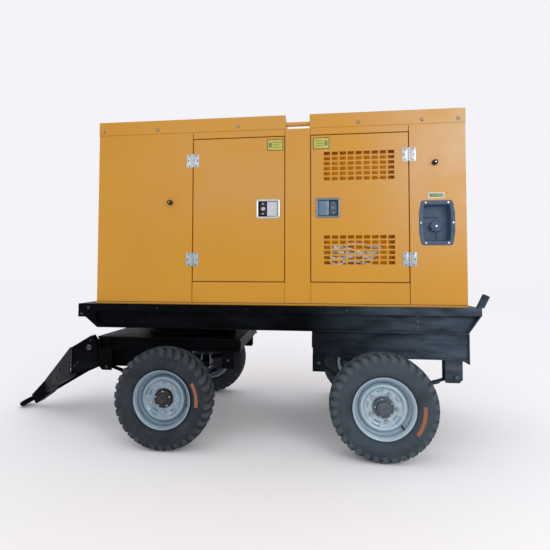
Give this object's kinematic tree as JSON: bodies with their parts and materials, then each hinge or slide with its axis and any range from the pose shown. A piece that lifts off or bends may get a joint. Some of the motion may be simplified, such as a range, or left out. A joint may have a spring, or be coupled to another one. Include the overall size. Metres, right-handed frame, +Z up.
{
  "type": "towable diesel generator",
  "caption": "Towable diesel generator: a closed sound-proof canopy with doors and vents on a drawbar trailer with sprung axles and a steering front bogie.",
  "frame": {"origin": "on the ground, under the middle of the machine's length and width", "axes": "+Z up, -X towards the tow eye, -Y the side with the fuel filler"},
  "size_m": [4.27, 1.696, 2.655],
  "materials": {
    "orange_paint": "semi-gloss",
    "black_paint": "semi-gloss",
    "tyre_rubber": "matte",
    "rim_paint": "semi-gloss",
    "hub_steel": "satin",
    "chrome_latch": "polished",
    "zinc_steel": "satin",
    "black_rubber": "matte",
    "black_plastic": "matte",
    "engine_paint": "satin",
    "alternator_iron": "satin",
    "radiator_paint": "satin",
    "exhaust_steel": "matte",
    "panel_paint": "satin",
    "fan_plastic": "satin"
  },
  "bodies": {
    "trailer": {"deck_frame": "black_paint", "end_gussets": "black_paint", "rear_subframe": "black_paint", "rear_hangers": "black_paint", "lashing_stakes": "black_paint", "rear_springs": "black_paint", "rear_axle": "black_paint", "rear_u_bolts": "zinc_steel", "upper_bolster": "black_paint", "base_skid": "black_paint", "fuel_tank": "black_paint", "canopy_side_near": "orange_paint", "canopy_side_far": "orange_paint", "canopy_front_end": "orange_paint", "canopy_rear_end": "orange_paint", "roof_panel": "orange_paint", "roof_cap_front": "orange_paint", "roof_cap_rear": "orange_paint", "lifting_bars": "orange_paint", "filler_pan": "black_plastic", "engine": "engine_paint", "radiator": "radiator_paint", "alternator": "alternator_iron", "muffler": "exhaust_steel", "air_filter": "black_plastic", "battery": "black_rubber", "control_panel": "panel_paint", "hinge_leaves": "zinc_steel", "door_buffers": "black_rubber"},
    "steering": {"bogie_frame": "black_paint", "turntable_ring": "black_paint", "front_hangers": "black_paint", "front_springs": "black_paint", "front_axle": "black_paint", "front_u_bolts": "zinc_steel"},
    "drawbar": {"drawbar": "black_paint", "tow_eye": "black_paint", "drawbar_pins": "zinc_steel"},
    "wheel_front_near": {"tyre_front_near": "tyre_rubber", "rim_front_near": "rim_paint", "hub_front_near": "hub_steel"},
    "wheel_front_far": {"tyre_front_far": "tyre_rubber", "rim_front_far": "rim_paint", "hub_front_far": "hub_steel"},
    "wheel_rear_near": {"tyre_rear_near": "tyre_rubber", "rim_rear_near": "rim_paint", "hub_rear_near": "hub_steel"},
    "wheel_rear_far": {"tyre_rear_far": "tyre_rubber", "rim_rear_far": "rim_paint", "hub_rear_far": "hub_steel"},
    "door_front_near": {"door_front_near": "orange_paint"},
    "door_front_far": {"door_front_far": "orange_paint"},
    "door_rear_near": {"door_rear_near": "orange_paint"},
    "door_rear_far": {"door_rear_far": "orange_paint"},
    "latch_front_near": {"latch_front_near": "chrome_latch"},
    "latch_front_far": {"latch_front_far": "chrome_latch"},
    "latch_rear_near": {"latch_rear_near": "chrome_latch"},
    "latch_rear_far": {"latch_rear_far": "chrome_latch"},
    "fuel_cap": {"fuel_cap": "black_plastic"},
    "cooling_fan": {"cooling_fan": "fan_plastic"}
  },
  "joints": [
    {"name": "steer", "type": "hinge", "parent": "trailer", "child": "steering", "pos_m": [-0.345, 0, 0.83], "axis": [0, 0, 1], "range_deg": [-45, 45]},
    {"name": "drawbar_lift", "type": "hinge", "parent": "steering", "child": "drawbar", "pos_m": [-1.105, 0, 0.715], "axis": [0, 1, 0], "range_deg": [0, 38]},
    {"name": "wheel_front_near_spin", "type": "hinge", "parent": "steering", "child": "wheel_front_near", "pos_m": [-0.345, -0.75, 0.3875], "axis": [0, 1, 0], "continuous": true},
    {"name": "wheel_front_far_spin", "type": "hinge", "parent": "steering", "child": "wheel_front_far", "pos_m": [-0.345, 0.75, 0.3875], "axis": [0, 1, 0], "continuous": true},
    {"name": "wheel_rear_near_spin", "type": "hinge", "parent": "trailer", "child": "wheel_rear_near", "pos_m": [1.305, -0.75, 0.3875], "axis": [0, 1, 0], "continuous": true},
    {"name": "wheel_rear_far_spin", "type": "hinge", "parent": "trailer", "child": "wheel_rear_far", "pos_m": [1.305, 0.75, 0.3875], "axis": [0, 1, 0], "continuous": true},
    {"name": "door_front_near_swing", "type": "hinge", "parent": "trailer", "child": "door_front_near", "pos_m": [-0.198, -0.5565, 1.882], "axis": [0, 0, -1], "range_deg": [0, 172]},
    {"name": "door_front_far_swing", "type": "hinge", "parent": "trailer", "child": "door_front_far", "pos_m": [-0.198, 0.5565, 1.882], "axis": [0, 0, 1], "range_deg": [0, 172]},
    {"name": "door_rear_near_swing", "type": "hinge", "parent": "trailer", "child": "door_rear_near", "pos_m": [1.558, -0.5565, 1.882], "axis": [0, 0, 1], "range_deg": [0, 172]},
    {"name": "door_rear_far_swing", "type": "hinge", "parent": "trailer", "child": "door_rear_far", "pos_m": [1.558, 0.5565, 1.882], "axis": [0, 0, -1], "range_deg": [0, 172]},
    {"name": "latch_front_near_pull", "type": "hinge", "parent": "door_front_near", "child": "latch_front_near", "pos_m": [0.51, -0.541, 1.882], "axis": [0, 0, 1], "range_deg": [0, 35], "stiffness_Nm_per_rad": 1},
    {"name": "latch_front_far_pull", "type": "hinge", "parent": "door_front_far", "child": "latch_front_far", "pos_m": [0.51, 0.541, 1.882], "axis": [0, 0, -1], "range_deg": [0, 35], "stiffness_Nm_per_rad": 1},
    {"name": "latch_rear_near_pull", "type": "hinge", "parent": "door_rear_near", "child": "latch_rear_near", "pos_m": [0.85, -0.541, 1.882], "axis": [0, 0, -1], "range_deg": [0, 35], "stiffness_Nm_per_rad": 1},
    {"name": "latch_rear_far_pull", "type": "hinge", "parent": "door_rear_far", "child": "latch_rear_far", "pos_m": [0.85, 0.541, 1.882], "axis": [0, 0, 1], "range_deg": [0, 35], "stiffness_Nm_per_rad": 1},
    {"name": "fuel_cap_turn", "type": "hinge", "parent": "trailer", "child": "fuel_cap", "pos_m": [1.768, -0.504, 1.729], "axis": [0, -1, 0], "range_deg": [0, 90]},
    {"name": "fan_spin", "type": "hinge", "parent": "trailer", "child": "cooling_fan", "pos_m": [-0.663, 0, 1.712], "axis": [1, 0, 0], "continuous": true}
  ]
}
